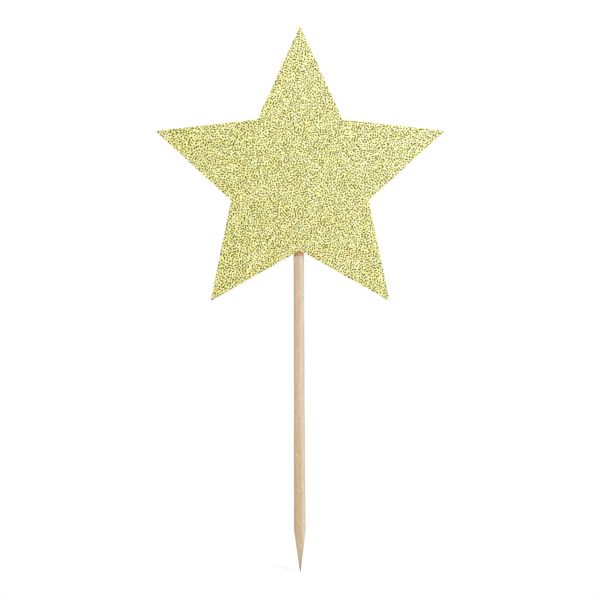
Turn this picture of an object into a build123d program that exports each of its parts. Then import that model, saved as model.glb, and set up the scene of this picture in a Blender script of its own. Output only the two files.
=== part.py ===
from build123d import *
import os

# Star cake topper: a five-pointed star cut from glitter card, glued to a sharpened wooden pick.
# Lengths are in millimetres. The pick stands on its point at the origin, with its axis along +Z.
# The glittered face of the star looks along -Y, and the pick runs up the star's back.

# The star's outline
star_arms = 5
star_radius = 35.0
dent_radius = 16.65
tip_rounding = 0.2
dent_rounding = 0.3

# The glitter card's two layers
card_thickness = 0.3
coat_thickness = 0.15

# The pick: a blunt tip, a slightly full point, a straight shank, a slow taper and a slimmer stem
pick_length = 100.0
tip_diameter = 0.3
point_length = 9.6
point_fullness = 0.06
shank_diameter = 2.6
shank_length = 25.0
taper_length = 16.0
stem_diameter = 2.4
end_chamfer = 0.15

# Where the pick ends behind the star, counted up from the dent that it passes
pick_overlap = 25.7

# The glue that the pick is pressed into
glue_film = 0.1
bead_width = 7.4
bead_height = 1.6
bead_rounding_share = 0.75
bead_low_margin = 2.6
bead_top_margin = 3.0

# Sizes and places that follow from these
tip_radius = tip_diameter / 2
shank_radius = shank_diameter / 2
stem_radius = stem_diameter / 2
tip_edge = (tip_radius, 0)
shoulder = (shank_radius, point_length)
shank_top = point_length + shank_length
taper_top = shank_top + taper_length
dent_height = pick_length - pick_overlap
star_height = dent_height + dent_radius
bead_length = pick_overlap - bead_low_margin - bead_top_margin
bead_middle = dent_height + bead_low_margin + bead_length / 2
bead_rounding = bead_height * bead_rounding_share
card_back_y = -stem_radius - glue_film

# The card's layers grow towards -Y from its back, and the glue grows towards +Y
towards_viewer = (0, -1, 0)
away_from_viewer = (0, 1, 0)
to_the_right = (1, 0, 0)
card_back = Plane(origin=(0, card_back_y, star_height), x_dir=to_the_right, z_dir=towards_viewer)
card_front = card_back.offset(card_thickness)
glue_seat = Plane(origin=(0, card_back_y, bead_middle), x_dir=to_the_right, z_dir=away_from_viewer)

os.makedirs("parts", exist_ok=True)


def star_corners():
    """Gives the sharp corners of the star about its centre, tip and dent in turn, from the top tip."""
    half_arm = 180 / star_arms
    top = Vector(star_radius, 0).rotate(Axis.Z, 90)
    dent = Vector(dent_radius, 0).rotate(Axis.Z, 90 + half_arm)
    arms = range(star_arms)
    return [corner.rotate(Axis.Z, 2 * half_arm * arm) for arm in arms for corner in (top, dent)]


# The outline that the die cuts through both layers
with BuildSketch() as star_outline:
    with BuildLine():
        Polyline(*star_corners(), close=True)
    make_face()
    dents = star_outline.vertices().sort_by_distance((0, 0))[:star_arms]
    fillet(dents, dent_rounding)
    tips = star_outline.vertices().sort_by_distance((0, 0))[-star_arms:]
    fillet(tips, tip_rounding)

# The card core
with BuildPart() as star_card:
    with BuildSketch(card_back):
        add(star_outline.sketch)
    extrude(amount=card_thickness)
star_card.part.label = "star_card"
export_step(star_card.part, "parts/star_card.step")

# The glitter in its binder, cut flush with the card
with BuildPart() as glitter_coat:
    with BuildSketch(card_front):
        add(star_outline.sketch)
    extrude(amount=coat_thickness)
glitter_coat.part.label = "glitter_coat"
export_step(glitter_coat.part, "parts/glitter_coat.step")

# The pick, turned about its own axis
with BuildPart() as pick:
    with BuildSketch(Plane.XZ):
        with BuildLine():
            Polyline(shoulder, (shank_radius, shank_top), (stem_radius, taper_top), (stem_radius, pick_length))
            Polyline((stem_radius, pick_length), (0, pick_length), (0, 0), tip_edge)
            SagittaArc(shoulder, tip_edge, point_fullness)
        make_face()
    revolve(axis=Axis.Z)
    chamfer(pick.edges().group_by(Axis.Z)[-1], end_chamfer)
pick.part.label = "pick"
export_step(pick.part, "parts/pick.step")

# The glue: a rounded bead on the card's back, with the channel that the pick has pressed into it
with BuildPart() as glue_bead:
    with BuildSketch(glue_seat):
        SlotOverall(bead_length, bead_width, rotation=90)
    extrude(amount=bead_height)
    fillet(glue_bead.faces().sort_by(Axis.Y)[-1].edges(), bead_rounding)
    add(pick.part, mode=Mode.SUBTRACT)
glue_bead.part.label = "glue_bead"
export_step(glue_bead.part, "parts/glue_bead.step")
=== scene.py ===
"""Dresses the star cake topper: glitter flakes on a card star, a birch pick and the glue that joins them."""

import logging
import math
from collections.abc import Sequence
from dataclasses import dataclass
from enum import Enum

import bpy
import numpy as np
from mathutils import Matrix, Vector, noise
from mathutils.geometry import delaunay_2d_cdt
from mathutils.kdtree import KDTree


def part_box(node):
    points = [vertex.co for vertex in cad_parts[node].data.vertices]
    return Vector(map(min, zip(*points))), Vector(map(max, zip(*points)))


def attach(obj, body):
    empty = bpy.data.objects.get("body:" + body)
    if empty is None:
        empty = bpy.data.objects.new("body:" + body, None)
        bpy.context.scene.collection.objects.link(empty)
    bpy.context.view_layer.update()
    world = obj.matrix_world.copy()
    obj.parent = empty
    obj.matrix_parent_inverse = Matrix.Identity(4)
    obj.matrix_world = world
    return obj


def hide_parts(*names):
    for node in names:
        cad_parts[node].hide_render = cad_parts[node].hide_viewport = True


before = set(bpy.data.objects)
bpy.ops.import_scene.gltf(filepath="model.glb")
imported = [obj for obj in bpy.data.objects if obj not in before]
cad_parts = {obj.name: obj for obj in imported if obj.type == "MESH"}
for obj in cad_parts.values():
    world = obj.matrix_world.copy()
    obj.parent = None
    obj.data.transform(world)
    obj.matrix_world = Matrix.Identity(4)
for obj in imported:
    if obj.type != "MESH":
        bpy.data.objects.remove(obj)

Triple = tuple[float, float, float]
Range = tuple[float, float]
Colour = Triple
Stops = tuple[tuple[float, Colour], ...]
Face = tuple[int, ...]
Array = np.ndarray
Random = np.random.Generator
Piece = bpy.types.Object
Mesh = bpy.types.Mesh
Material = bpy.types.Material
Socket = bpy.types.NodeSocket

MM = 0.001
BODY = "root"
BAKE_MAP = "OFBake"
GLINT_TONE = "flake_glint_tone"
WARMTH = "flake_warmth"
WHITE: Colour = (1.0, 1.0, 1.0)
BLACK: Colour = (0.0, 0.0, 0.0)
WHOLE: Range = (0.0, 1.0)
COMMON_NOISE: Range = (0.3, 0.7)
MIDDLE_NOISE: Range = (0.35, 0.65)
HONEYCOMB_ROW_SHARE = math.sqrt(0.75)
PLACE_DIGITS = 7
SAME_POINT = 1e-9
KEEP_INSIDE = 1

log = logging.getLogger("topper")


class Slot(Enum):
    """The record's material slots."""

    GLITTER = "glitter"
    CARD = "card"
    BIRCH = "birch"
    GLUE = "glue"


class Node(Enum):
    """The solids that the frame brings."""

    COAT = "glitter_coat"
    CARD = "star_card"
    PICK = "pick"
    GLUE = "glue_bead"


def srgb(*levels: float) -> Colour:
    """Turns a colour as a screen shows it into the linear colour that a shader takes.

    Args:
        levels: Red, green and blue, from 0 to 255.

    Returns:
        The linear colour.
    """
    shares = [level / 255 for level in levels]
    return tuple(s / 12.92 if s <= 0.04045 else ((s + 0.055) / 1.055) ** 2.4 for s in shares)


@dataclass(frozen=True)
class Grain:
    """A soft noise: its cells to a millimetre along x, y and z, its finer layers and how strong they are."""

    cells: Triple
    layers: float = 2.0
    rough: float = 0.5


class Shader:
    """The node tree of a material or of the surroundings, with its main shader ready to be wired."""

    def __init__(self, owner: Material | bpy.types.World, main: str = "Principled BSDF") -> None:
        """Opens the node tree.

        Args:
            owner: What the node tree belongs to.
            main: The name of its main shader's node.
        """
        owner.use_nodes = True
        self.owner = owner
        self.tree = owner.node_tree
        self.main = self.tree.nodes[main]

    def node(self, kind: str, **settings: object) -> bpy.types.Node:
        """Adds a node.

        Args:
            kind: The node's type.
            settings: The node's own properties.

        Returns:
            The node.
        """
        made = self.tree.nodes.new(kind)
        for key, value in settings.items():
            setattr(made, key, value)
        return made

    def feed(self, socket: Socket, value: object) -> None:
        """Links a socket to another, or sets it to a value.

        Args:
            socket: The socket.
            value: The other socket, or the value.
        """
        if isinstance(value, Socket):
            self.tree.links.new(value, socket)
        elif socket.type == "RGBA":
            socket.default_value = (*value, 1.0)
        else:
            socket.default_value = value

    def set(self, node: bpy.types.Node, **values: object) -> None:
        """Feeds a node's sockets, with underscores for the spaces in their names."""
        for name, value in values.items():
            self.feed(node.inputs[name.replace("_", " ")], value)

    def place(self, stretch: Triple = (1.0, 1.0, 1.0)) -> Socket:
        """Gives the place on the object in millimetres, scaled along each axis.

        Args:
            stretch: How many pattern units there are to a millimetre along x, y and z.

        Returns:
            The scaled place.
        """
        where = self.node("ShaderNodeTexCoord").outputs["Object"]
        scaled = self.node("ShaderNodeVectorMath", operation="MULTIPLY")
        self.feed(scaled.inputs[0], where)
        self.feed(scaled.inputs[1], [share / MM for share in stretch])
        return scaled.outputs[0]

    def noise(self, grain: Grain) -> Socket:
        """Adds soft noise on the object.

        Args:
            grain: How fine and how rough it is.

        Returns:
            The noise, about 0.5.
        """
        made = self.node("ShaderNodeTexNoise")
        where = self.place(grain.cells)
        self.set(made, Vector=where, Scale=1.0, Detail=grain.layers, Roughness=grain.rough)
        return made.outputs["Fac"]

    def ramp(self, factor: object, stops: Stops) -> Socket:
        """Turns a factor into a colour.

        Args:
            factor: The factor.
            stops: Places from 0 to 1 with their linear colours, in order.

        Returns:
            The colour.
        """
        made = self.node("ShaderNodeValToRGB")
        elements = made.color_ramp.elements
        while len(elements) < len(stops):
            elements.new(1.0)
        for element, (place, colour) in zip(elements, stops):
            element.position = place
            element.color = (*colour, 1.0)
        self.feed(made.inputs["Fac"], factor)
        return made.outputs["Color"]

    def span(self, value: object, between: Range, becomes: Range = WHOLE) -> Socket:
        """Maps a range to another, clamped and eased at both ends.

        Args:
            value: The value.
            between: Where the range starts and ends.
            becomes: What its start and its end become.

        Returns:
            The mapped value.
        """
        made = self.node("ShaderNodeMapRange", interpolation_type="SMOOTHSTEP")
        for index, number in enumerate((value, *between, *becomes)):
            self.feed(made.inputs[index], number)
        return made.outputs["Result"]

    def combine(self, operation: str, first: object, second: object) -> Socket:
        """Combines two numbers.

        Args:
            operation: A Math node's operation.
            first: The first number.
            second: The second number.

        Returns:
            What they come to.
        """
        made = self.node("ShaderNodeMath", operation=operation)
        self.feed(made.inputs[0], first)
        self.feed(made.inputs[1], second)
        return made.outputs[0]

    def mix(self, factor: object, first: object, second: object, blend: str = "MIX") -> Socket:
        """Mixes two colours.

        Args:
            factor: How much of the second there is.
            first: The first colour.
            second: The second colour.
            blend: How they are mixed.

        Returns:
            The mixed colour.
        """
        made = self.node("ShaderNodeMix", data_type="RGBA", blend_type=blend)
        for index, value in zip((0, 6, 7), (factor, first, second)):
            self.feed(made.inputs[index], value)
        return made.outputs[2]

    def tinted(self, colour: object, tint: object, share: object = 1.0) -> Socket:
        """Multiplies a colour by a tint, of which a share is taken."""
        return self.mix(share, colour, tint, "MULTIPLY")

    def relief(self, height: object, depth: float) -> None:
        """Bumps the main shader's surface.

        Args:
            height: The height, from 0 to 1.
            depth: How far 1 stands out, in metres.
        """
        made = self.node("ShaderNodeBump")
        self.set(made, Strength=1.0, Distance=depth, Height=height)
        self.set(self.main, Normal=made.outputs["Normal"])

    def mark(self, name: str) -> Socket:
        """Gives a number that the mesh holds under this name."""
        return self.node("ShaderNodeAttribute", attribute_name=name).outputs["Fac"]


@dataclass(frozen=True)
class GlitterFinish:
    """Metallised flakes, each in one tone from olive to near white that paints its glint or dark reflection,
    whose tint drifts over the star and pales towards its top right as painted light.
    """

    name: str = "gold_glitter"
    # Painted reflections: near-white tones stand for glints, olive ones for flakes that mirror dark
    # surroundings.
    glint_tones: Stops = (
        (0.0, srgb(91, 88, 0)),
        (0.25, srgb(150, 146, 40)),
        (0.5, srgb(205, 200, 110)),
        (0.75, srgb(255, 250, 162)),
        (1.0, srgb(255, 253, 203)),
    )
    warm_tint: Colour = srgb(255, 222, 190)
    lemon_shaded_tint: Colour = (0.955, 0.95, 0.75)
    cream_lit_tint: Colour = (1.065, 1.055, 1.21)
    hues: Stops = ((0.3, (1.02, 0.98, 1.0)), (0.7, (0.98, 1.02, 1.0)))
    hue_drift: Grain = Grain((0.37, 0.37, 0.37), 1.0)
    drift: Grain = Grain((0.5, 0.5, 0.5))
    drift_share: float = 1.5
    # Painted light: the flakes pale and lighten towards the star's top right, where the key lamp stands.
    painted_light_slope: Triple = (0.0072, 0.0, 0.0042)
    painted_light_span: Range = (0.5, 1.8)
    painted_light_lift: float = 0.1
    metal: float = 1.0
    roughness: Range = (0.6, 0.38)

    def material(self) -> Material:
        """Wires the finish: flakes pale from lemon to cream and their dull ones lighten towards the star's
        top right, a painted light, with a random drift mixed in.

        Returns:
            The material.
        """
        shader = Shader(bpy.data.materials.new(self.name))
        glint_tone = shader.mark(GLINT_TONE)
        # Painted light slope towards the top right, plus a random drift of the tint.
        slope = shader.node("ShaderNodeVectorMath", operation="DOT_PRODUCT")
        shader.feed(slope.inputs[0], shader.place())
        shader.feed(slope.inputs[1], self.painted_light_slope)
        drift = shader.combine("MULTIPLY", shader.noise(self.drift), self.drift_share)
        lit_and_drift_share = shader.span(shader.combine("ADD", slope.outputs["Value"], drift), self.painted_light_span)
        hue = shader.ramp(shader.noise(self.hue_drift), self.hues)
        tint = shader.tinted(shader.mix(lit_and_drift_share, self.lemon_shaded_tint, self.cream_lit_tint), hue)
        lit_tone = shader.combine("ADD", glint_tone, shader.combine("MULTIPLY", lit_and_drift_share, self.painted_light_lift))
        plain = shader.tinted(shader.ramp(lit_tone, self.glint_tones), tint)
        shader.set(
            shader.main,
            Base_Color=shader.tinted(plain, self.warm_tint, shader.mark(WARMTH)),
            Metallic=self.metal,
            Roughness=shader.span(glint_tone, WHOLE, self.roughness),
        )
        return shader.owner


@dataclass(frozen=True)
class CardFinish:
    """Uncoated white card with fibres and a soft mottle."""

    name: str = "white_card"
    pale: Colour = srgb(246, 244, 239)
    dull: Colour = srgb(240, 237, 230)
    fibre: Colour = srgb(228, 222, 210)
    mottle: Grain = Grain((0.5, 0.5, 0.5), 4.0)
    fibres: Grain = Grain((7.0, 7.0, 2.4), 5.0, 0.65)
    fibre_span: Range = (0.56, 0.72)
    fibre_share: float = 0.5
    roughness: Range = (0.72, 0.9)
    relief_depth: float = 0.012 * MM

    def material(self) -> Material:
        """Wires the finish.

        Returns:
            The material.
        """
        shader = Shader(bpy.data.materials.new(self.name))
        mottle = shader.span(shader.noise(self.mottle), MIDDLE_NOISE)
        fibres = shader.noise(self.fibres)
        ground = shader.mix(mottle, self.pale, self.dull)
        showing = shader.span(fibres, self.fibre_span, (0.0, self.fibre_share))
        shader.set(
            shader.main,
            Base_Color=shader.mix(showing, ground, self.fibre),
            Roughness=shader.span(fibres, COMMON_NOISE, self.roughness),
        )
        shader.relief(fibres, self.relief_depth)
        return shader.owner


@dataclass(frozen=True)
class BirchFinish:
    """Untreated birch: growth bands, fibre mottle, pores, a point that greys towards the tip, painted shade
    down its left edge and a top browned by glue and by painted shade under the card.

    Places are in millimetres. Bands and the painted shade down the left edge go by x, and tints by the share
    of the pick's length.
    """

    name: str = "birch"
    bands: Stops = (
        (0.12, srgb(218, 196, 163)),
        (0.49, srgb(213, 188, 163)),
        (0.6, srgb(221, 203, 181)),
        (0.76, srgb(222, 207, 186)),
        (0.93, srgb(207, 196, 179)),
    )
    bands_from: float = -1.5
    bands_width: float = 2.8
    bands_grain: Grain = Grain((0.1, 0.1, 0.05), 1.0)
    bands_drift: float = 0.5
    shank_span: Range = (15.0, 42.0)
    shank_shift: float = 0.28
    point_span: Range = (4.0, 10.0)
    point_shift: float = 0.6
    # Painted shade: the left edge, turned away from the key lamp, darkens towards x = -1.4 mm.
    left_shade_span: Range = (-1.4, -1.1)
    left_edge_shade: Stops = ((0.0, (0.84, 0.8, 0.75)), (1.0, WHITE))
    # Tints by the share of the pick's length; the point darkens to grey at the tip.
    tints: Stops = (
        (0.004, (0.3, 0.36, 0.42)),
        (0.022, (0.74, 0.81, 0.86)),
        (0.055, (0.93, 0.92, 0.9)),
        (0.1, (0.93, 0.89, 0.82)),
        (0.295, (0.96, 0.94, 0.86)),
        (0.42, (1.03, 1.01, 1.03)),
        (0.6, (1.0, 1.0, 1.02)),
    )
    tints_span: Range = (1.5, 1.7)
    tints_least: float = 0.3
    length: float = 100.0
    streaks: Grain = Grain((7.0, 7.0, 0.12), 5.0, 0.6)
    streak_tints: Stops = ((0.3, (0.9, 0.88, 0.85)), (0.5, WHITE), (0.72, (1.05, 1.05, 1.04)))
    mottles: tuple[tuple[Grain, Stops], ...] = (
        (Grain((8.0, 8.0, 0.5)), ((0.3, (0.88, 0.86, 0.82)), (0.7, (1.11, 1.11, 1.13)))),
        (Grain((6.4, 6.4, 2.6), 1.0), ((0.25, (0.89, 0.89, 0.87)), (0.75, (1.11, 1.11, 1.13)))),
        (Grain((1.1, 1.1, 0.3)), ((0.35, (0.98, 1.005, 0.97)), (0.65, (1.02, 0.985, 1.0)))),
    )
    pore: Colour = srgb(158, 128, 92)
    pores: Grain = Grain((9.0, 9.0, 0.9), 2.0, 0.4)
    pore_span: Range = (0.68, 0.78)
    pore_share: float = 0.5
    # Glue stain and painted shade with warm bounce from the card, on the pick's front just below the card's
    # edge.
    stain_and_shade: Stops = (
        (0.1, srgb(170, 132, 84)),
        (0.55, srgb(200, 156, 109)),
        (0.87, srgb(216, 182, 140)),
    )
    stain_shade_grain: Grain = Grain((2.0, 2.0, 0.4))
    stain_shade_ragged: float = 0.6
    stain_shade_line: Range = (73.15, 73.35)
    stain_shade_share: float = 0.92
    stain_shade_end: Range = (76.0, 77.5)
    stain_shade_front: Range = (-0.6, 0.3)
    roughness: Range = (0.62, 0.85)
    specular: float = 0.25
    relief_depth: float = 0.02 * MM

    def material(self) -> Material:
        """Wires the finish.

        Returns:
            The material.
        """
        shader = Shader(bpy.data.materials.new(self.name))
        place = shader.node("ShaderNodeSeparateXYZ")
        shader.feed(place.inputs[0], shader.place())
        streaks = shader.noise(self.streaks)
        wood = shader.tinted(self.growth(shader, place), shader.ramp(streaks, self.streak_tints))
        for grain, tints in self.mottles:
            wood = shader.tinted(wood, shader.ramp(shader.noise(grain), tints))
        open_pores = shader.span(shader.noise(self.pores), self.pore_span, (0.0, self.pore_share))
        shader.set(
            shader.main,
            Base_Color=self.stained_and_shaded(shader, shader.mix(open_pores, wood, self.pore), place),
            Roughness=shader.span(streaks, COMMON_NOISE, self.roughness),
            Specular_IOR_Level=self.specular,
        )
        shader.relief(streaks, self.relief_depth)
        return shader.owner

    def growth(self, shader: Shader, place: bpy.types.Node) -> Socket:
        """Colours the wood by its growth bands, a painted shade down its left edge and its slow change along
        the pick.

        Args:
            shader: The material's node tree.
            place: The node that gives x, y and z in millimetres.

        Returns:
            The wood's colour.
        """
        across, height = place.outputs["X"], place.outputs["Z"]
        drift = shader.combine("MULTIPLY", shader.noise(self.bands_grain), self.bands_drift)
        shank = shader.span(height, self.shank_span, (self.shank_shift, 0.0))
        point = shader.span(height, self.point_span, (self.point_shift, 0.0))
        start = self.bands_from + self.bands_drift / 2
        moved = shader.combine("ADD", shader.combine("ADD", shank, point), start)
        where = shader.combine("SUBTRACT", shader.combine("ADD", across, drift), moved)
        bands = shader.ramp(shader.combine("DIVIDE", where, self.bands_width), self.bands)
        tints = shader.ramp(shader.combine("DIVIDE", height, self.length), self.tints)
        share = shader.span(where, self.tints_span, (1.0, self.tints_least))
        # Painted shade down the left edge.
        left_shade = shader.ramp(shader.span(across, self.left_shade_span), self.left_edge_shade)
        return shader.tinted(shader.tinted(bands, tints, share), left_shade)

    def stained_and_shaded(self, shader: Shader, wood: object, place: bpy.types.Node) -> Socket:
        """Browns the wood's front below the card's edge, down to a sharp line: partly glue soaked into the
        wood, partly painted shade and warm bounce from the card.

        Args:
            shader: The material's node tree.
            wood: The wood's colour.
            place: The node that gives x, y and z in millimetres.

        Returns:
            The colour with the stain and the painted shade.
        """
        ragged = shader.combine("MULTIPLY", shader.noise(self.stain_shade_grain), self.stain_shade_ragged)
        level = shader.combine("ADD", place.outputs["Z"], ragged)
        # Painted shade under the card's edge, partly glue soaked into the wood, down to a sharp line.
        soaked_and_shaded = shader.span(level, self.stain_shade_line, (0.0, self.stain_shade_share))
        ends = shader.span(level, self.stain_shade_end, (1.0, 0.0))
        front = shader.span(place.outputs["Y"], self.stain_shade_front, (1.0, 0.0))
        share = shader.combine("MULTIPLY", shader.combine("MULTIPLY", soaked_and_shaded, ends), front)
        across = shader.combine("SUBTRACT", place.outputs["X"], self.bands_from)
        browned = shader.ramp(shader.combine("DIVIDE", across, self.bands_width), self.stain_and_shade)
        return shader.mix(share, wood, browned)


@dataclass(frozen=True)
class GlueFinish:
    """Set hot-melt glue: milky, half clear, with a soft shine."""

    name: str = "hot_melt"
    clear: Colour = srgb(244, 238, 222)
    milky: Colour = srgb(238, 229, 206)
    cloud: Grain = Grain((0.45, 0.45, 0.3), 3.0)
    ripple: Grain = Grain((0.5, 0.5, 0.35))
    roughness: Range = (0.16, 0.34)
    bending: float = 1.48
    clear_share: float = 0.12
    relief_depth: float = 0.05 * MM

    def material(self) -> Material:
        """Wires the finish.

        Returns:
            The material.
        """
        shader = Shader(bpy.data.materials.new(self.name))
        cloud = shader.span(shader.noise(self.cloud), MIDDLE_NOISE)
        ripple = shader.noise(self.ripple)
        shader.set(
            shader.main,
            Base_Color=shader.mix(cloud, self.clear, self.milky),
            Roughness=shader.span(ripple, COMMON_NOISE, self.roughness),
            IOR=self.bending,
            Transmission_Weight=self.clear_share,
        )
        shader.relief(ripple, self.relief_depth)
        return shader.owner


def new_piece(name: str, vertices: Sequence, faces: Sequence, sharp_from: float = 0.0) -> Piece:
    """Makes a mesh object and puts it in the scene.

    Args:
        name: The piece's name.
        vertices: Its points, in metres.
        faces: Its faces, as rows of point numbers.
        sharp_from: The angle from which a round piece's edges are sharp, or 0 for flat faces.

    Returns:
        The object.
    """
    mesh = bpy.data.meshes.new(name)
    mesh.from_pydata(vertices, [], faces, shade_flat=not sharp_from)
    mesh.validate()
    if sharp_from:
        mesh.set_sharp_from_angle(angle=sharp_from)
    piece = bpy.data.objects.new(name, mesh)
    bpy.context.scene.collection.objects.link(piece)
    return piece


def dress(piece: Piece, material: Material) -> None:
    """Gives a piece its material.

    Args:
        piece: The piece.
        material: Its material.
    """
    piece.data.materials.clear()
    piece.data.materials.append(material)


def note(mesh: Mesh, name: str, domain: str, values: Array) -> None:
    """Keeps one number for each point or face of a mesh.

    Args:
        mesh: The mesh.
        name: The name that a material reads it by.
        domain: POINT or FACE.
        values: The numbers.
    """
    mesh.attributes.new(name, "FLOAT", domain).data.foreach_set("value", values.astype(np.float32))


def map_for_bake(mesh: Mesh, corners: Array) -> None:
    """Gives a mesh the map that its colours are baked through.

    Args:
        mesh: The mesh.
        corners: A place on the map for each face corner.
    """
    mesh.uv_layers.new(name=BAKE_MAP).data.foreach_set("uv", corners.astype(np.float32).ravel())


def headings(turn: Array) -> Array:
    """Gives the plane vectors of length 1 that point in these directions."""
    return np.stack([np.cos(turn), np.sin(turn)], axis=-1)


def flake_faces(count: int, sides: int) -> list[Face]:
    """Lists the faces of flakes: a plate each, and sides that meet at a root below it.

    Args:
        count: How many flakes there are.
        sides: How many corners each has, before its root.

    Returns:
        The faces.
    """
    faces: list[Face] = []
    for first in range(0, count * (sides + 1), sides + 1):
        faces.append(tuple(range(first, first + sides)))
        faces.extend((first + (k + 1) % sides, first + k, first + sides) for k in range(sides))
    return faces


@dataclass(frozen=True)
class Outline:
    """The star's die-cut outline, seen from the front as x and z, and how what is strewn on it is turned."""

    centre: Array
    points: Array
    lay: float = math.radians(11)

    @classmethod
    def of(cls, node: Piece) -> "Outline":
        """Reads the outline off a solid that was cut straight through.

        Args:
            node: The solid.

        Returns:
            Its outline, in order round the centre.
        """
        places = np.array([vertex.co for vertex in node.data.vertices])
        flat = np.unique(np.round(places[:, [0, 2]], PLACE_DIGITS), axis=0)
        centre = flat.mean(axis=0)
        turn = np.arctan2(*(flat - centre).T[::-1])
        return cls(centre, flat[np.argsort(turn)])

    def reach(self, turn: Array) -> Array:
        """Measures from the centre to the outline.

        Args:
            turn: Directions from the centre, in radians from -pi to pi.

        Returns:
            The distance in each direction.
        """
        start = self.points - self.centre
        edge = np.roll(start, -1, axis=0) - start
        at = np.searchsorted(np.arctan2(start[:, 1], start[:, 0]), turn, side="right") - 1
        return self.cross(start[at], edge[at]) / self.cross(headings(turn), edge[at])

    @staticmethod
    def cross(first: Array, second: Array) -> Array:
        """Gives the cross product of two rows of plane vectors."""
        return first[..., 0] * second[..., 1] - first[..., 1] * second[..., 0]

    def inside(self, places: Array, spare: Array | float = 0.0) -> Array:
        """Tells which places the outline holds.

        Args:
            places: The places.
            spare: How far past the outline a place may lie, measured from the centre.

        Returns:
            True for each place that it holds.
        """
        off = places - self.centre
        return np.hypot(off[..., 0], off[..., 1]) < self.reach(np.arctan2(off[..., 1], off[..., 0])) + spare

    def gap(self, places: Array) -> Array:
        """Measures how far each place is from the nearest edge of the outline.

        Args:
            places: The places.

        Returns:
            The distances.
        """
        edge = np.roll(self.points, -1, axis=0) - self.points
        off = places[:, None, :] - self.points[None, :, :]
        share = np.clip((off * edge).sum(-1) / (edge**2).sum(-1), 0.0, 1.0)
        return np.linalg.norm(off - share[..., None] * edge, axis=-1).min(axis=1)

    def steps(self, pitch: float) -> Array:
        """Walks round the outline.

        Args:
            pitch: The longest step.

        Returns:
            Points along it, corners included.
        """
        walked = []
        for start, end in zip(self.points, np.roll(self.points, -1, axis=0)):
            count = max(1, round(float(np.linalg.norm(end - start)) / pitch))
            walked.append(start + (end - start) * np.arange(count)[:, None] / count)
        return np.concatenate(walked)

    def scatter(self, pitch: float, jitter: float, margin: float, rng: Random) -> Array:
        """Spreads places over the star, on a loose honeycomb that is turned by the lay.

        Args:
            pitch: How far apart they are.
            jitter: How far each may stray, as a share of the pitch.
            margin: How far they keep from the outline.
            rng: Where the straying comes from.

        Returns:
            The places.
        """
        low, high = self.points.min(axis=0), self.points.max(axis=0)
        half = math.ceil(np.linalg.norm(high - low) / (2 * pitch * HONEYCOMB_ROW_SHARE))
        row, column = np.mgrid[-half:half, -half:half]
        grid = np.stack([column + 0.5 * (row % 2), row * HONEYCOMB_ROW_SHARE], axis=-1).reshape(-1, 2)
        strayed = pitch * (grid + rng.uniform(-jitter, jitter, grid.shape))
        across, up = math.cos(self.lay), math.sin(self.lay)
        places = (low + high) / 2 + strayed @ np.array([[across, up], [-up, across]])
        places = places[self.inside(places)]
        return places[self.gap(places) > margin]


@dataclass(frozen=True)
class FlakeKind:
    """How one kind of flake lies and looks."""

    name: str
    glint_tones: Range
    tilt: float
    size: float


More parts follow.
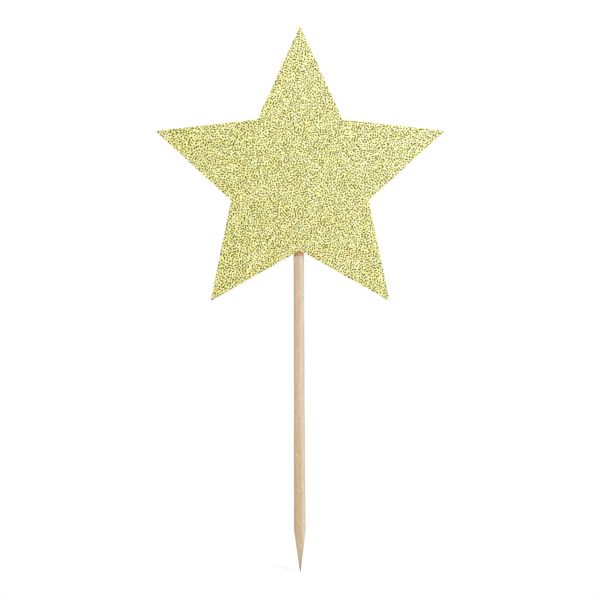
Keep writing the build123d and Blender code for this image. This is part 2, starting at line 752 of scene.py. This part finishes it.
@dataclass
class GlitterFace:
    """The star's glittered face: a bed of fine flakes in binder, with larger flakes lying over it."""

    outline: Outline
    front: float
    back: float
    seed: int = 11
    bed_pitch: float = 0.3 * MM
    bed_jitter_share: float = 0.33
    bed_thickness: float = 0.06 * MM
    bed_relief: float = 0.06 * MM
    # The bed's facets get painted reflections in mid tones.
    bed_glint_tone: float = 0.6
    bed_glint_tone_spread: float = 0.1
    flake_pitch: float = 0.306 * MM
    flake_jitter_share: float = 0.36
    flake_width: float = 0.335 * MM
    flake_width_spread: float = 0.02 * MM
    flake_steepest: float = math.radians(28)
    flake_depth: float = 0.07 * MM
    corners: int = 6
    fray: float = 0.05 * MM
    trim_rounds: int = 10
    least_spoke_share: float = 0.05
    # Bright flakes carry painted glints, dull ones painted dark reflections.
    bright_kind: FlakeKind = FlakeKind("bright_flakes", (0.8, 1.0), math.radians(9), 1.04)
    dull_kind: FlakeKind = FlakeKind("dull_flakes", (0.0, 0.03), math.radians(5), 1.07)
    dull_share: float = 0.3
    settle_reach: float = 0.44 * MM
    settle_rounds: int = 10
    level_reach: float = 0.55 * MM
    warm_share: float = 0.006
    warm_range: Range = (0.3, 1.0)
    hidden_facing: float = -0.2
    hidden_map_share: float = 0.05
    cell_share: float = 0.4

    def build(self, material: Material) -> list[Piece]:
        """Makes the bed and both kinds of flake.

        Args:
            material: The glitter's material.

        Returns:
            The bed, the bright flakes and the dull ones.
        """
        rng = np.random.default_rng(self.seed)
        middles = self.outline.scatter(self.flake_pitch, self.flake_jitter_share, self.fray, rng)
        rank = self.settle(middles, rng)
        dull = rank < self.dull_share
        made = [
            self.bed(rng),
            self.flakes(self.bright_kind, middles[~dull], rank[~dull], rng),
            self.flakes(self.dull_kind, middles[dull], rank[dull], rng),
        ]
        for piece in made:
            dress(piece, material)
            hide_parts(Node.COAT.value)
            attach(piece, BODY)
        return made

    def warmths(self, count: int, rng: Random) -> Array:
        """Draws how warm each flake is, which is not at all for most."""
        return rng.uniform(*self.warm_range, count) * (rng.random(count) < self.warm_share)

    def bed(self, rng: Random) -> Piece:
        """Makes the bed: one closed skin of small facets, cut off at the outline.

        Args:
            rng: Where the unevenness comes from.

        Returns:
            The piece.
        """
        rim = self.outline.steps(self.bed_pitch)
        inner = self.outline.scatter(self.bed_pitch, self.bed_jitter_share, self.bed_pitch / 2, rng)
        flat = [Vector(place) for place in np.concatenate([rim, inner])]
        ring = range(len(rim))
        edges = np.stack([ring, np.roll(ring, -1)], axis=1).tolist()
        found, _, faces, origins, _, _ = delaunay_2d_cdt(flat, edges, [], KEEP_INSIDE, SAME_POINT)
        places = np.array(found)
        order = {first: new for new, olds in enumerate(origins) for first in olds}
        rim_now = [order[number] for number in ring]
        raised = self.back - self.bed_thickness - self.bed_relief * rng.random(len(places))
        raised[rim_now] = self.back - self.bed_thickness
        top = np.stack([places[:, 0], raised, places[:, 1]], axis=1)
        under = top[rim_now]
        under[:, 1] = self.back
        below = [len(top) + step for step in ring]
        walls = [(rim_now[step - 1], below[step - 1], below[step], rim_now[step]) for step in ring]
        piece = new_piece("glitter_bed", np.concatenate([top, under]), [*faces, *walls, below[::-1]])
        count = len(piece.data.polygons)
        glint_tones = rng.normal(self.bed_glint_tone, self.bed_glint_tone_spread, count)
        note(piece.data, GLINT_TONE, "FACE", np.clip(glint_tones, 0.0, 1.0))
        note(piece.data, WARMTH, "FACE", self.warmths(count, rng))
        self.map_flat(piece.data)
        return piece

    def map_flat(self, mesh: Mesh) -> None:
        """Maps the bed as it is seen from the front, with its hidden back in a corner of the map.

        Args:
            mesh: The bed's mesh.
        """
        places = np.array([mesh.vertices[loop.vertex_index].co for loop in mesh.loops])[:, [0, 2]]
        low, high = places.min(axis=0), places.max(axis=0)
        share = (places - low) / (high - low).max()
        turned = [face.normal.y > self.hidden_facing for face in mesh.polygons]
        hidden = np.repeat(turned, [face.loop_total for face in mesh.polygons])
        share[hidden] *= self.hidden_map_share
        map_for_bake(mesh, share)

    def flakes(
        self, kind: FlakeKind, middles: Array, rank: Array, rng: Random
    ) -> Piece:
        """Makes one kind of flake: six-cornered plates, each lying at its own slant and cut at the outline.

        Args:
            kind: How they lie and look.
            middles: Where they lie.
            rank: Where each one stands from the dullest to the brightest.
            rng: Where their sizes and slants come from.

        Returns:
            The piece.
        """
        count = len(middles)
        width = kind.size * (self.flake_width + rng.uniform(-1.0, 1.0, count) * self.flake_width_spread)
        spin = rng.uniform(0.0, math.tau, count)[:, None] + np.arange(self.corners) * math.tau / self.corners
        spokes = headings(spin) * width[:, None, None] / 2
        spokes *= self.trim(middles, spokes, rng)[..., None]
        slant = np.tan(np.minimum(np.abs(rng.normal(0.0, kind.tilt, count)), self.flake_steepest))
        fall = headings(rng.uniform(0.0, math.tau, count)) * slant[:, None]
        level = self.front + width / 2 * slant
        heights = level[:, None] + (spokes * fall[:, None, :]).sum(axis=-1)
        flat = middles[:, None, :] + spokes
        tops = np.stack([flat[..., 0], heights, flat[..., 1]], axis=-1)
        roots = np.stack([middles[:, 0], level + self.flake_depth, middles[:, 1]], axis=-1)
        points = np.concatenate([tops, roots[:, None, :]], axis=1).reshape(-1, 3)
        piece = new_piece(kind.name, points, flake_faces(count, self.corners))
        per_flake = self.corners + 1
        glint_tones = np.interp(rank, (rank.min(), rank.max()), kind.glint_tones)
        note(piece.data, GLINT_TONE, "POINT", np.repeat(glint_tones, per_flake))
        note(piece.data, WARMTH, "POINT", np.repeat(self.warmths(count, rng), per_flake))
        self.map_cells(piece.data, count)
        return piece

    def settle(self, middles: Array, rng: Random) -> Array:
        """Ranks the flakes from dull to bright, so that both lie side by side and evenly over the star.

        Args:
            middles: The flakes' middles.
            rng: Where the first ranking comes from.

        Returns:
            A rank from 0 to 1 for each flake, among those round it.
        """
        count = len(middles)
        tree = KDTree(count)
        for number, (x, z) in enumerate(middles):
            tree.insert((x, z, 0.0), number)
        tree.balance()
        near = [tree.find_range((x, z, 0.0), self.level_reach) for x, z in middles]
        sizes = np.array([len(found) for found in near])
        owner = np.repeat(np.arange(count), sizes)
        other = np.array([number for found in near for _, number, _ in found])
        gap = np.array([gap for found in near for *_, gap in found])
        close = (gap > 0.0) & (gap < self.settle_reach)
        touching = np.maximum(np.bincount(owner[close], minlength=count), 1)
        rank = rng.random(count)
        for _ in range(self.settle_rounds):
            around = np.bincount(owner[close], rank[other[close]], count) / touching
            rank = np.argsort(np.argsort(rank - around)) / count
        return np.bincount(owner, rank[other] < rank[owner], count) / sizes

    def trim(self, middles: Array, spokes: Array, rng: Random) -> Array:
        """Finds how much of each spoke the die leaves.

        Args:
            middles: The flakes' middles.
            spokes: From each middle to its corners.
            rng: Where the ragged edge comes from.

        Returns:
            The share of each spoke that is left.
        """
        spare = rng.uniform(-self.fray, self.fray / 2, len(middles))[:, None]
        short, long = np.zeros(spokes.shape[:2]), np.ones(spokes.shape[:2])
        whole = self.outline.inside(middles[:, None, :] + spokes, spare)
        for _ in range(self.trim_rounds):
            half = (short + long) / 2
            held = self.outline.inside(middles[:, None, :] + spokes * half[..., None], spare)
            short, long = np.where(held, half, short), np.where(held, long, half)
        return np.where(whole, 1.0, np.maximum(short, self.least_spoke_share))

    def map_cells(self, mesh: Mesh, count: int) -> None:
        """Maps each flake into a cell of its own, because it has one tone all over.

        Args:
            mesh: The flakes' mesh.
            count: How many flakes it has.
        """
        across = math.ceil(math.sqrt(count))
        number = np.array([loop.vertex_index for loop in mesh.loops])
        flake, corner = np.divmod(number, self.corners + 1)
        turn = corner * math.tau / self.corners
        spread = np.where(corner == self.corners, 0.0, self.cell_share)
        cell = np.stack([flake % across, flake // across], axis=-1) + 0.5
        map_for_bake(mesh, (cell + headings(turn) * spread[:, None]) / across)


@dataclass(frozen=True)
class Wander:
    """How a size wanders along the pick: by how much, how fast, and in which lane of the noise."""

    reach: float
    rate: float
    lane: Range = (0.0, 0.0)

    def at(self, tall: float, side: float = 1.0) -> float:
        """Gives the change at a height in millimetres, on the right or, with -1, on the left."""
        return self.reach * noise.noise((side * self.lane[0], self.lane[1], tall * self.rate))


@dataclass
class Pick:
    """The round birch pick, a little uneven along its length, with a ground point."""

    length: float
    tip_width: float = 0.11 * MM
    tip_drift: float = 0.11 * MM
    point_length: float = 9.7 * MM
    point_fullness: float = 0.035 * MM
    point_flats: int = 9
    point_flatness: float = 0.6
    flat_wander: Wander = Wander(0.5, 0.4)
    lean: float = -0.0034
    lean_from: float = -0.03 * MM
    girths: tuple[Range, ...] = (
        (0.0, 2.7), (10.0, 2.68), (17.0, 2.6), (29.0, 2.56), (35.0, 2.48), (41.0, 2.42),
        (49.0, 2.46), (60.0, 2.4), (100.0, 2.39),
    )
    girth_wander: Wander = Wander(0.008, 0.09, (0.3, 0.1))
    oval_share: float = 0.006
    oval_turn: float = 0.8
    fibre_depth: float = 0.011 * MM
    fibre_round: float = 5.5
    fibre_along: float = 0.2
    end_chamfer: float = 0.12 * MM
    sides: int = 48
    fine_step: float = 0.16 * MM
    fine_reach_share: float = 1.2
    coarse_step: float = 0.5 * MM
    sharp_from: float = math.radians(35)

    def heights(self) -> Array:
        """Places the rings: close together on the point, wider apart above it.

        Returns:
            The rings' heights.
        """
        point = np.arange(0.0, self.point_length * self.fine_reach_share, self.fine_step)
        shank = np.arange(point[-1] + self.coarse_step, self.length - self.coarse_step, self.coarse_step)
        return np.concatenate([point, shank, [self.length - self.end_chamfer, self.length]])

    def radius(self, height: float) -> float:
        """Gives the pick's mean radius.

        Args:
            height: The height above the tip.

        Returns:
            The radius there.
        """
        grown = np.interp(height / MM, *zip(*self.girths)) * MM / 2
        if height < self.point_length:
            share = height / self.point_length
            tip = self.tip_width / 2
            return tip + (grown - tip) * share + 4 * self.point_fullness * share * (1 - share)
        return grown - max(0.0, height - self.length + self.end_chamfer)

    def axis(self, height: float) -> float:
        """Gives how far the pick's middle is to the side at a height."""
        ground = max(0.0, 1.0 - height / self.point_length)
        return self.lean_from + self.lean * height + self.tip_drift * ground

    def skin(self, height: float, turn: float) -> float:
        """Gives the radius with the fibres and the point's ground flats.

        Args:
            height: The height above the tip.
            turn: The direction from the middle, in radians.

        Returns:
            The radius there.
        """
        base = self.radius(height)
        tall = height / MM
        uneven = 1 + self.oval_share * math.cos(2 * turn - self.oval_turn) + self.girth_wander.at(tall)
        round_x, round_y = self.fibre_round * math.cos(turn), self.fibre_round * math.sin(turn)
        fibre = self.fibre_depth * noise.noise((round_x, round_y, tall * self.fibre_along))
        share = height / self.point_length
        if share < 1.0:
            wedge = math.tau / self.point_flats
            slope = (turn + self.flat_wander.at(tall)) % wedge - wedge / 2
            flat = math.cos(wedge / 2) / math.cos(slope)
            uneven *= 1 - self.point_flatness * (1 - flat) * math.sin(math.pi * share) ** 0.5
            fibre *= share
        return base * uneven + fibre

    def build(self, material: Material) -> Piece:
        """Makes the pick.

        Args:
            material: The birch.

        Returns:
            The piece.
        """
        heights = self.heights()
        turns = np.arange(self.sides) * math.tau / self.sides
        points = [
            (self.axis(z) + self.skin(z, t) * math.cos(t), self.skin(z, t) * math.sin(t), z)
            for z in heights
            for t in turns
        ]
        piece = new_piece("pick_wood", points, ring_faces(len(heights), self.sides), self.sharp_from)
        dress(piece, material)
        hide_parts(Node.PICK.value)
        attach(piece, BODY)
        return piece


def ring_faces(rings: int, sides: int) -> list[Face]:
    """Joins rings of points into a closed tube.

    Args:
        rings: How many rings there are, in order.
        sides: How many points each has, anticlockwise seen from the last ring.

    Returns:
        The faces, with one at each end.
    """
    faces: list[Face] = [tuple(reversed(range(sides)))]
    for ring in range(rings - 1):
        low, high = ring * sides, (ring + 1) * sides
        for k in range(sides):
            after = (k + 1) % sides
            faces.append((low + k, low + after, high + after, high + k))
    faces.append(tuple(range((rings - 1) * sides, rings * sides)))
    return faces


@dataclass
class StrayFlakes:
    """A few flakes that have come off the star and lie stuck on the pick, at a height and a turn each."""

    pick: Pick
    spots: tuple[Range, ...] = (
        (64.1, -28.0), (58.4, 36.0), (58.1, 26.0), (55.6, 31.0), (47.2, 160.0), (41.0, -118.0),
        (34.8, -32.0), (27.1, -26.0), (26.9, 5.0), (24.0, 96.0), (20.7, 26.0), (18.9, -1.0),
        (15.2, -150.0), (69.4, 128.0), (11.9, 44.0),
    )
    seed: int = 5
    width: float = 0.27 * MM
    width_spread: float = 0.05 * MM
    lift: float = 0.02 * MM
    root: float = 0.12 * MM
    corners: int = 6
    # Painted glints on the stray flakes.
    glint_tones: Range = (0.8, 1.0)

    def build(self, material: Material) -> Piece:
        """Makes the flakes.

        Args:
            material: The glitter's material.

        Returns:
            The piece.
        """
        rng = np.random.default_rng(self.seed)
        points: list[Triple] = []
        for height, turn in self.spots:
            width = self.width + rng.uniform(-1.0, 1.0) * self.width_spread
            points += self.flake(height * MM, math.radians(turn), width / 2, rng.uniform(0.0, math.tau))
        piece = new_piece("stray_flakes", points, flake_faces(len(self.spots), self.corners))
        glint_tones = rng.uniform(*self.glint_tones, len(self.spots))
        note(piece.data, GLINT_TONE, "POINT", np.repeat(glint_tones, self.corners + 1))
        note(piece.data, WARMTH, "POINT", np.zeros(len(points)))
        dress(piece, material)
        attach(piece, BODY)
        return piece

    def flake(self, height: float, turn: float, radius: float, spin: float) -> list[Triple]:
        """Places one flake, flat against the pick and rooted in it.

        Args:
            height: The flake's height on the pick.
            turn: Which way it faces, in radians from the front towards the right.
            radius: From its middle to its corners.
            spin: How it is turned in its own plane.

        Returns:
            Its corners and its root.
        """
        out = Vector((math.sin(turn), -math.cos(turn), 0.0))
        side = Vector((math.cos(turn), math.sin(turn), 0.0))
        skin = self.pick.skin(height, turn - math.pi / 2)
        middle = Vector((self.pick.axis(height), 0.0, height)) + out * (skin + self.lift)
        points = []
        for step in range(self.corners):
            angle = spin + step * math.tau / self.corners
            up = Vector((0.0, 0.0, radius * math.sin(angle)))
            points.append(middle + side * radius * math.cos(angle) + up)
        return [tuple(point) for point in (*points, middle - out * self.root)]


@dataclass
class Glue:
    """The hot-melt bead on the star's back, squeezed out on both sides of the pick."""

    pick: Pick
    low: float
    high: float
    seat: float
    half_width: float
    rings: int = 72
    dome_points: int = 12
    channel_points: int = 15
    seat_points: int = 6
    sink: float = 0.015 * MM
    climb: float = math.radians(98)
    climb_wander: Wander = Wander(0.12, 0.3, (5.0, 0.0))
    end_climb: float = math.radians(38)
    end_width: float = 0.9 * MM
    end_power: int = 6
    least_foot: float = 0.1 * MM
    flank_power: float = 0.9
    wobble: Wander = Wander(0.16, 0.22, (3.0, 2.0))
    ripple: Wander = Wander(0.06, 0.7, (1.0, 7.0))
    sharp_from: float = math.radians(50)

    def section(self, height: float) -> list[Triple]:
        """Draws the bead's closed section at a height: up the left side, under the pick, down the right.

        Args:
            height: Where the bead is cut.

        Returns:
            The section's points.
        """
        share = (height - self.low) / (self.high - self.low)
        full = max(0.0, 1 - abs(2 * share - 1) ** self.end_power) ** 0.5
        tall = height / MM
        radius, middle = self.pick.radius(height) - self.sink, self.pick.axis(height)
        climb = self.end_climb + (self.climb - self.end_climb) * full * (1 + self.climb_wander.at(tall))
        turns = np.linspace(-climb, climb, self.channel_points)
        channel = [(middle + radius * math.sin(t), -radius * math.cos(t)) for t in turns]
        left = self.side(channel[0], -1.0, full, tall)
        right = self.side(channel[-1], 1.0, full, tall)
        floor = np.linspace(right[-1][0], left[-1][0], self.seat_points + 2)[1:-1]
        outline = [*reversed(left), *channel, *right, *((x, self.seat - self.sink) for x in floor)]
        return [(x, y, height) for x, y in reversed(outline)]

    def side(self, start: Range, way: float, full: float, tall: float) -> list[Range]:
        """Draws one flank of the bead, from the pick down to the card.

        Args:
            start: Where it leaves the pick.
            way: -1 for the left flank and 1 for the right one.
            full: How full the bead is here, from 0 to 1.
            tall: The height, in millimetres.

        Returns:
            The flank's points.
        """
        wobble = 1 + self.wobble.at(tall, way) + self.ripple.at(tall, way)
        reach = self.end_width + (self.half_width * wobble - self.end_width) * full
        foot = max(reach, abs(start[0]) + self.least_foot)
        drop = start[1] - (self.seat - self.sink)
        flank = []
        for share in np.linspace(0.0, 1.0, self.dome_points + 1)[1:]:
            x = abs(start[0]) + (foot - abs(start[0])) * math.sin(share * math.pi / 2)
            y = start[1] - drop * (1 - math.cos(share * math.pi / 2) ** self.flank_power)
            flank.append((way * x, y))
        return flank

    def build(self, material: Material) -> Piece:
        """Makes the bead.

        Args:
            material: The glue.

        Returns:
            The piece.
        """
        heights = np.linspace(self.low, self.high, self.rings)
        sections = [self.section(height) for height in heights]
        points = [point for section in sections for point in section]
        piece = new_piece("glue_melt", points, ring_faces(self.rings, len(sections[0])), self.sharp_from)
        dress(piece, material)
        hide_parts(Node.GLUE.value)
        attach(piece, BODY)
        return piece


@dataclass
class Studio:
    """The pale floor, the soft light and the camera, which looks level and square at the star."""

    middle: float = 62.87 * MM
    view_width: float = 138.6 * MM
    lens: float = 100.0
    sensor: float = 36.0
    floor_reach: float = 3.0
    floor_colour: Colour = (0.92, 0.92, 0.92)
    floor_dim_share: float = 0.99
    floor_grain: Grain = Grain((0.02, 0.02, 0.02), 3.0)
    floor_roughness: float = 0.9
    floor_glow: float = 0.16
    shadow_reach: Range = (0.018, 0.07)
    sky_light: float = 0.685
    key_place: Triple = (0.42, -0.73, 0.9)
    key_size: float = 0.4
    key_power: float = 5.2
    fill_place: Triple = (0.0, 0.95, 0.7)
    fill_size: float = 0.9
    fill_power: float = 2.6

    def build(self) -> None:
        """Makes the whole studio."""
        bpy.context.scene.view_settings.view_transform = "Standard"
        self.sky()
        self.floor()
        self.lamp("key", self.key_place, self.key_size, self.key_power)
        self.lamp("fill", self.fill_place, self.fill_size, self.fill_power)
        self.camera()

    def sky(self) -> None:
        """Makes the surroundings: white to look at and in reflections, and a softer light on the object."""
        world = bpy.data.worlds.new("studio")
        bpy.context.scene.world = world
        shader = Shader(world, "Background")
        light = shader.span(self.looked_at(shader), WHOLE, (self.sky_light, 1.0))
        shader.set(shader.main, Color=WHITE, Strength=light)

    @staticmethod
    def looked_at(shader: Shader) -> Socket:
        """Tells the rays that show a thing, straight, mirrored or through glass, from those that light it.

        Args:
            shader: The node tree that asks.

        Returns:
            1 for a ray that shows it, and 0 for one that lights it.
        """
        path = shader.node("ShaderNodeLightPath").outputs
        seen = path["Is Camera Ray"]
        for ray in ("Is Glossy Ray", "Is Transmission Ray"):
            seen = shader.combine("MAXIMUM", seen, path[ray])
        return seen

    def floor(self) -> None:
        """Makes the floor under the pick's tip: it keeps the shadow close by, and runs out into white."""
        reach = self.floor_reach
        corners = [(-reach, -reach, 0.0), (reach, -reach, 0.0), (reach, reach, 0.0), (-reach, reach, 0.0)]
        piece = new_piece("floor", corners, [(0, 1, 2, 3)])
        shader = Shader(bpy.data.materials.new("floor_paper"))
        dim = tuple(self.floor_dim_share * share for share in self.floor_colour)
        paper = shader.mix(shader.noise(self.floor_grain), self.floor_colour, dim)
        away = shader.node("ShaderNodeVectorMath", operation="LENGTH")
        shader.feed(away.inputs[0], shader.place((MM, MM, MM)))
        far = shader.span(away.outputs["Value"], self.shadow_reach)
        seen = self.looked_at(shader)
        grown = shader.combine("MULTIPLY", far, 1.0 - self.floor_glow)
        glow = shader.combine("MULTIPLY", seen, shader.combine("ADD", grown, self.floor_glow))
        shader.set(
            shader.main,
            Base_Color=shader.mix(shader.combine("MULTIPLY", seen, far), paper, BLACK),
            Roughness=self.floor_roughness,
            Specular_IOR_Level=0.0,
            Emission_Color=WHITE,
            Emission_Strength=glow,
        )
        piece.data.materials.append(shader.owner)

    def lamp(self, name: str, place: Triple, size: float, power: float) -> None:
        """Hangs a square lamp that faces the star.

        Args:
            name: The lamp's name.
            place: Where it hangs.
            size: The length of its sides.
            power: Its power in watts.
        """
        light = bpy.data.lights.new(name, "AREA")
        light.size = size
        light.energy = power
        lamp = bpy.data.objects.new(name, light)
        lamp.location = place
        aim = Vector((0.0, 0.0, self.middle)) - Vector(place)
        lamp.rotation_mode = "QUATERNION"
        lamp.rotation_quaternion = aim.to_track_quat("-Z", "Y")
        lamp.visible_camera = False
        bpy.context.scene.collection.objects.link(lamp)

    def camera(self) -> None:
        """Stands the camera in front of the star."""
        data = bpy.data.cameras.new("camera")
        data.lens = self.lens
        data.sensor_width = self.sensor
        camera = bpy.data.objects.new("camera", data)
        camera.location = (0.0, -self.view_width * self.lens / self.sensor, self.middle)
        camera.rotation_euler = (math.pi / 2, 0.0, 0.0)
        bpy.context.scene.collection.objects.link(camera)
        bpy.context.scene.camera = camera


def write_sizes() -> None:
    """Brings the scene's placements up to date.
    """
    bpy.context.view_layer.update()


def main() -> None:
    """Builds every piece in order, then the studio round it."""
    logging.basicConfig(level=logging.INFO, format="%(message)s")
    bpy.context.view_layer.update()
    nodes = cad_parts
    coat_low, coat_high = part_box(Node.COAT.value)
    glitter = GlitterFace(Outline.of(nodes[Node.COAT.value]), coat_low.y, coat_high.y)
    made = glitter.build(GlitterFinish().material())
    dress(nodes[Node.CARD.value], CardFinish().material())
    pick = Pick(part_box(Node.PICK.value)[1].z)
    made.append(pick.build(BirchFinish().material()))
    pale_gold = GlitterFinish("pale_glitter", lemon_shaded_tint=(1.0, 0.96, 1.2), cream_lit_tint=(1.1, 1.04, 1.4))
    made.append(StrayFlakes(pick).build(pale_gold.material()))
    glue_low, glue_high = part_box(Node.GLUE.value)
    glue = Glue(pick, glue_low.z, glue_high.z, glue_low.y, (glue_high.x - glue_low.x) / 2)
    made.append(glue.build(GlueFinish().material()))
    for piece in made:
        log.info("%s: %d faces", piece.name, len(piece.data.polygons))
    Studio().build()
    write_sizes()


if __name__ == "__main__":
    main()
